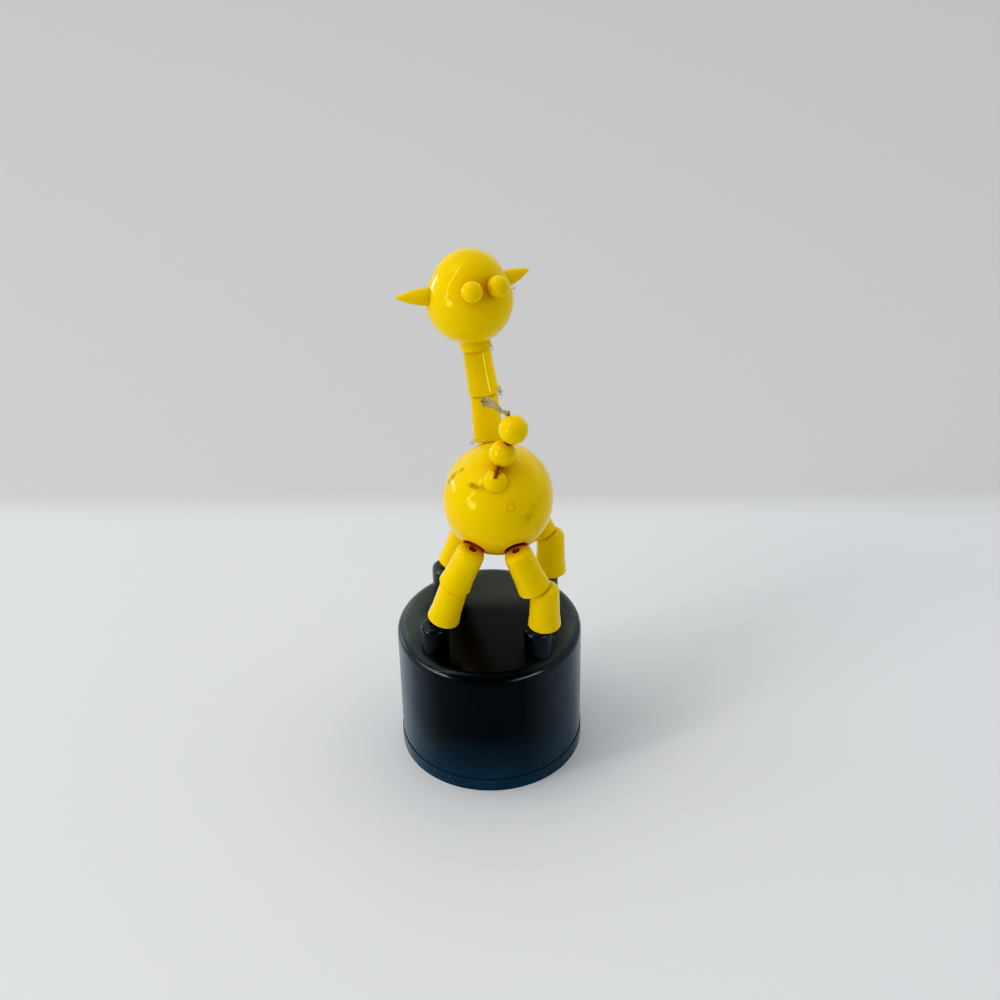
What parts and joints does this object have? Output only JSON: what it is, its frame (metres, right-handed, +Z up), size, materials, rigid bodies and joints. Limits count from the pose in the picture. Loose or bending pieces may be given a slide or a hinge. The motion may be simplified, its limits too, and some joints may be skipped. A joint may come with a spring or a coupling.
{
  "type": "thumb push puppet",
  "caption": "Thumb push puppet: a giraffe of thimble beads and balls strung over a cup base, with a spring-loaded button inside the cup.",
  "frame": {"origin": "centre of the cup base's foot, on the surface it stands on", "axes": "+Z up; the animal's body faces +Y, and +X is to its right"},
  "size_m": [0.0383, 0.0475, 0.1072],
  "materials": {
    "yellow_plastic": "gloss",
    "dark_plastic": "satin",
    "string": "twisted thread",
    "spring_steel": "drawn wire"
  },
  "bodies": {
    "base": {"base_cup": "dark_plastic", "post_strings": "string"},
    "button": {"thumb_button": "dark_plastic", "string_knots": "string", "return_spring": "spring_steel", "button_strings": "string"},
    "body": {"body_rear_shell": "yellow_plastic", "body_front_shell": "yellow_plastic", "body_strings": "string", "tail_stub": "yellow_plastic"},
    "neck_lower": {"neck_lower_bead": "yellow_plastic", "neck_lower_string": "string"},
    "neck_upper": {"neck_upper_bead": "yellow_plastic", "neck_upper_string": "string"},
    "collar": {"neck_collar_bead": "yellow_plastic", "collar_string": "string"},
    "head": {"head_rear_shell": "yellow_plastic", "head_front_shell": "yellow_plastic", "ear_left": "yellow_plastic", "ear_right": "yellow_plastic", "horn_left": "yellow_plastic", "horn_right": "yellow_plastic"},
    "tail_inner": {"tail_inner_ball": "yellow_plastic", "tail_inner_string": "string"},
    "tail_outer": {"tail_outer_ball": "yellow_plastic", "tail_thread": "string"},
    "rear_left_lower": {"rear_left_lower_bead": "yellow_plastic", "rear_left_lower_string": "string"},
    "rear_left_upper": {"rear_left_upper_bead": "yellow_plastic", "rear_left_upper_string": "string"},
    "rear_right_lower": {"rear_right_lower_bead": "yellow_plastic", "rear_right_lower_string": "string"},
    "rear_right_upper": {"rear_right_upper_bead": "yellow_plastic", "rear_right_upper_string": "string"},
    "front_left_lower": {"front_left_lower_bead": "yellow_plastic", "front_left_lower_string": "string"},
    "front_left_upper": {"front_left_upper_bead": "yellow_plastic", "front_left_upper_string": "string"},
    "front_right_lower": {"front_right_lower_bead": "yellow_plastic", "front_right_lower_string": "string"},
    "front_right_upper": {"front_right_upper_bead": "yellow_plastic", "front_right_upper_string": "string"}
  },
  "joints": [
    {"name": "button_press", "type": "slide", "parent": "base", "child": "button", "axis": [0, 0, 1], "range_m": [0, 0.005], "stiffness_N_per_m": 400, "springref_m": -0.005, "deforming": ["return_spring", "button_strings"]},
    {"name": "rear_right_ankle", "type": "hinge", "parent": "base", "child": "rear_right_lower", "pos_m": [0.0127, -0.0088, 0.0354], "axis": [0, 1, 0], "range_deg": [0, 28.5]},
    {"name": "rear_right_knee", "type": "hinge", "parent": "rear_right_lower", "child": "rear_right_upper", "pos_m": [0.01081, -0.00915, 0.04483], "axis": [0, 1, 0], "range_deg": [-54.5, 0]},
    {"name": "rear_right_hip", "type": "hinge", "parent": "rear_right_upper", "child": "body", "pos_m": [0.00713, -0.00954, 0.05341], "axis": [0, 1, 0], "range_deg": [0, 26.5]},
    {"name": "rear_left_hip", "type": "hinge", "parent": "body", "child": "rear_left_upper", "pos_m": [-0.00238, -0.00954, 0.05343], "axis": [0, 1, 0], "range_deg": [0, 36.7]},
    {"name": "rear_left_knee", "type": "hinge", "parent": "rear_left_upper", "child": "rear_left_lower", "pos_m": [-0.00455, -0.00908, 0.04408], "axis": [0, 1, 0], "range_deg": [-52.9, 0]},
    {"name": "front_left_hip", "type": "hinge", "parent": "body", "child": "front_left_upper", "pos_m": [-0.00237, 0.01022, 0.05343], "axis": [0, 1, 0], "range_deg": [0, 36.4]},
    {"name": "front_left_knee", "type": "hinge", "parent": "front_left_upper", "child": "front_left_lower", "pos_m": [-0.00447, 0.01032, 0.04405], "axis": [0, 1, 0], "range_deg": [-53.1, 0]},
    {"name": "front_right_hip", "type": "hinge", "parent": "body", "child": "front_right_upper", "pos_m": [0.00714, 0.01013, 0.05341], "axis": [0, 1, 0], "range_deg": [-26, 0]},
    {"name": "front_right_knee", "type": "hinge", "parent": "front_right_upper", "child": "front_right_lower", "pos_m": [0.01085, 0.00964, 0.04484], "axis": [0, 1, 0], "range_deg": [0, 53.6]},
    {"name": "neck_lower_nod", "type": "hinge", "parent": "body", "child": "neck_lower", "pos_m": [0.00003, 0.00513, 0.07014], "axis": [1, 0, 0], "range_deg": [-8.5, 0]},
    {"name": "neck_upper_nod", "type": "hinge", "parent": "neck_lower", "child": "neck_upper", "pos_m": [-0.00096, 0.00949, 0.07723], "axis": [1, 0, 0], "range_deg": [-9.5, 0]},
    {"name": "collar_nod", "type": "hinge", "parent": "neck_upper", "child": "collar", "pos_m": [-0.00244, 0.01166, 0.0862], "axis": [1, 0, 0], "range_deg": [-5.5, 0]},
    {"name": "head_turn", "type": "hinge", "parent": "collar", "child": "head", "pos_m": [-0.00384, 0.01371, 0.09801], "axis": [-0.113, 0.052, 0.9922], "range_deg": [-119, 61]},
    {"name": "tail_inner_swing", "type": "hinge", "parent": "body", "child": "tail_inner", "pos_m": [0.00265, -0.00798, 0.07035], "axis": [1, 0, 0], "range_deg": [0, 55.5]},
    {"name": "tail_outer_swing", "type": "hinge", "parent": "tail_inner", "child": "tail_outer", "pos_m": [0.00385, -0.00398, 0.07345], "axis": [1, 0, 0], "range_deg": [0, 35.5]}
  ],
  "couplings": [
    {"joint": "rear_right_ankle", "follows": "button_press", "rad_per_m": 97.738},
    {"joint": "rear_right_knee", "follows": "button_press", "rad_per_m": -188.5},
    {"joint": "rear_right_hip", "follows": "button_press", "rad_per_m": 90.757},
    {"joint": "rear_left_hip", "follows": "button_press", "rad_per_m": 126.36},
    {"joint": "rear_left_knee", "follows": "button_press", "rad_per_m": -182.91},
    {"joint": "front_left_hip", "follows": "button_press", "rad_per_m": 125.31},
    {"joint": "front_left_knee", "follows": "button_press", "rad_per_m": -183.78},
    {"joint": "front_right_hip", "follows": "button_press", "rad_per_m": -88.977},
    {"joint": "front_right_knee", "follows": "button_press", "rad_per_m": 185.49},
    {"joint": "neck_lower_nod", "follows": "button_press", "rad_per_m": -27.925},
    {"joint": "neck_upper_nod", "follows": "button_press", "rad_per_m": -31.416},
    {"joint": "collar_nod", "follows": "button_press", "rad_per_m": -17.453},
    {"joint": "tail_inner_swing", "follows": "button_press", "rad_per_m": 191.99},
    {"joint": "tail_outer_swing", "follows": "button_press", "rad_per_m": 122.17}
  ]
}
